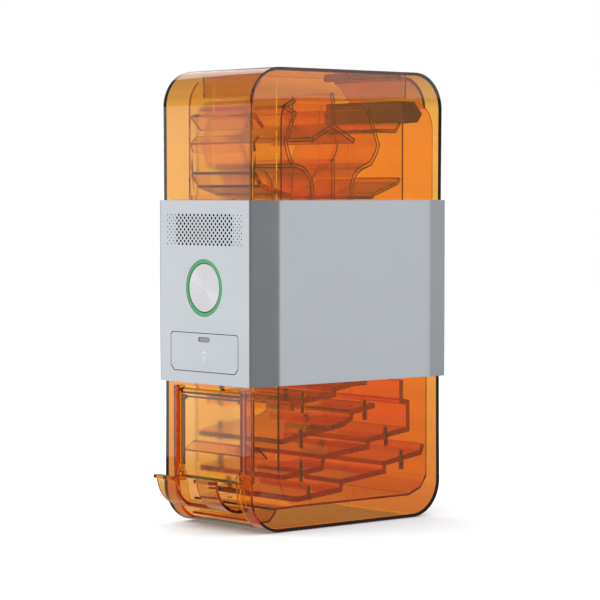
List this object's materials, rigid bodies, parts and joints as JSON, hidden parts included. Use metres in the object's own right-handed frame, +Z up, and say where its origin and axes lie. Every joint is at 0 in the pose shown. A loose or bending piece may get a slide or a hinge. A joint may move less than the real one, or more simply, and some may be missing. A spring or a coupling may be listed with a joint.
{
  "type": "battery charging and storage station",
  "caption": "Tall countertop station: see-through amber loading hopper on top, satin metal band with lit start button and reject drawer, amber storage bin with a fold-out pick-up tray below.",
  "frame": {"origin": "centre of the underside pad, on the surface that the station stands on", "axes": "+Z up, -Y towards the front with the button and the tray, +X to the right seen from the front"},
  "size_m": [0.118, 0.236, 0.372],
  "materials": {
    "amber_housing": "clear amber polycarbonate, polished",
    "amber_inner": "clear deep amber polycarbonate, moulded",
    "satin_aluminium": "bead-blasted, silver anodised",
    "brushed_button": "spun face with a circular brush",
    "ring_light": "green light ring",
    "black_plastic": "fine moulded texture",
    "grey_plastic": "fine moulded texture",
    "steel": "ground",
    "brass": "plain",
    "circuit_board": "solder mask",
    "rubber": "matt"
  },
  "bodies": {
    "housing": {"upper_shell": "amber_housing", "lower_shell": "amber_housing", "lid_hinge_pin": "steel", "base_pad": "rubber", "band_sleeve": "satin_aluminium", "front_panel": "satin_aluminium", "grille_mesh": "black_plastic", "light_ring": "ring_light", "control_board": "circuit_board", "button_switch": "black_plastic", "speaker": "black_plastic", "power_inlet": "black_plastic", "left_drawer_rail": "black_plastic", "right_drawer_rail": "black_plastic", "feed_motor": "steel", "left_side_frame": "black_plastic", "right_side_frame": "black_plastic", "charge_cradle": "black_plastic", "left_contact_strip": "brass", "right_contact_strip": "brass", "fan_frame": "black_plastic", "upper_deck": "black_plastic", "lower_deck": "black_plastic", "hopper_left_side": "amber_inner", "hopper_right_side": "amber_inner", "front_funnel": "amber_inner", "rear_funnel": "amber_inner", "lower_divider": "amber_inner", "rear_shelf": "amber_inner", "rear_ramp": "amber_inner", "front_guide": "amber_inner", "rear_guard": "amber_inner", "upper_divider": "amber_inner", "hopper_back_wall": "amber_inner", "level_sensor_housing": "black_plastic", "bin_left_side": "amber_inner", "bin_right_side": "amber_inner", "top_ramp": "amber_inner", "second_ramp": "amber_inner", "third_ramp": "amber_inner", "bottom_ramp": "amber_inner", "bin_floor": "amber_inner", "bin_front_wall": "amber_inner", "left_window_rail": "amber_housing", "right_window_rail": "amber_housing", "outlet_guide": "amber_inner", "outlet_shroud": "amber_inner"},
    "lid": {"top_lid": "amber_housing"},
    "button": {"start_button": "brushed_button"},
    "drawer": {"drawer_front": "satin_aluminium", "drawer_light": "grey_plastic", "reject_bin": "grey_plastic"},
    "drum": {"feed_drum": "grey_plastic", "drum_axle": "steel", "drum_gear": "black_plastic"},
    "pinion": {"motor_pinion": "brass"},
    "flap": {"sorting_flap": "grey_plastic"},
    "fan": {"fan_rotor": "black_plastic"},
    "tray": {"outlet_tray": "amber_housing"},
    "window": {"front_window": "amber_housing"}
  },
  "joints": [
    {"name": "lid_hinge", "type": "hinge", "parent": "housing", "child": "lid", "pos_m": [0, 0.063, 0.3692], "axis": [-1, 0, 0], "range_deg": [0, 95]},
    {"name": "button_press", "type": "slide", "parent": "housing", "child": "button", "axis": [0, 1, 0], "range_m": [0, 0.0012], "stiffness_N_per_m": 800},
    {"name": "drawer_slide", "type": "slide", "parent": "housing", "child": "drawer", "axis": [0, -1, 0], "range_m": [0, 0.062]},
    {"name": "drum_spin", "type": "hinge", "parent": "housing", "child": "drum", "pos_m": [0, -0.015, 0.215], "axis": [1, 0, 0], "continuous": true},
    {"name": "pinion_spin", "type": "hinge", "parent": "housing", "child": "pinion", "pos_m": [0, 0.025, 0.2022], "axis": [1, 0, 0], "continuous": true},
    {"name": "flap_swing", "type": "hinge", "parent": "housing", "child": "flap", "pos_m": [0, -0.004, 0.168], "axis": [1, 0, 0], "range_deg": [-22, 22]},
    {"name": "fan_spin", "type": "hinge", "parent": "housing", "child": "fan", "pos_m": [0, 0.096, 0.205], "axis": [0, 1, 0], "continuous": true},
    {"name": "tray_fold", "type": "hinge", "parent": "housing", "child": "tray", "pos_m": [0, -0.1, 0.042], "axis": [1, 0, 0], "range_deg": [0, 78]},
    {"name": "window_flip", "type": "hinge", "parent": "housing", "child": "window", "pos_m": [0, -0.0975, 0.1105], "axis": [-1, 0, 0], "range_deg": [0, 80]}
  ],
  "couplings": [
    {"joint": "pinion_spin", "follows": "drum_spin", "ratio": -3.6667}
  ]
}
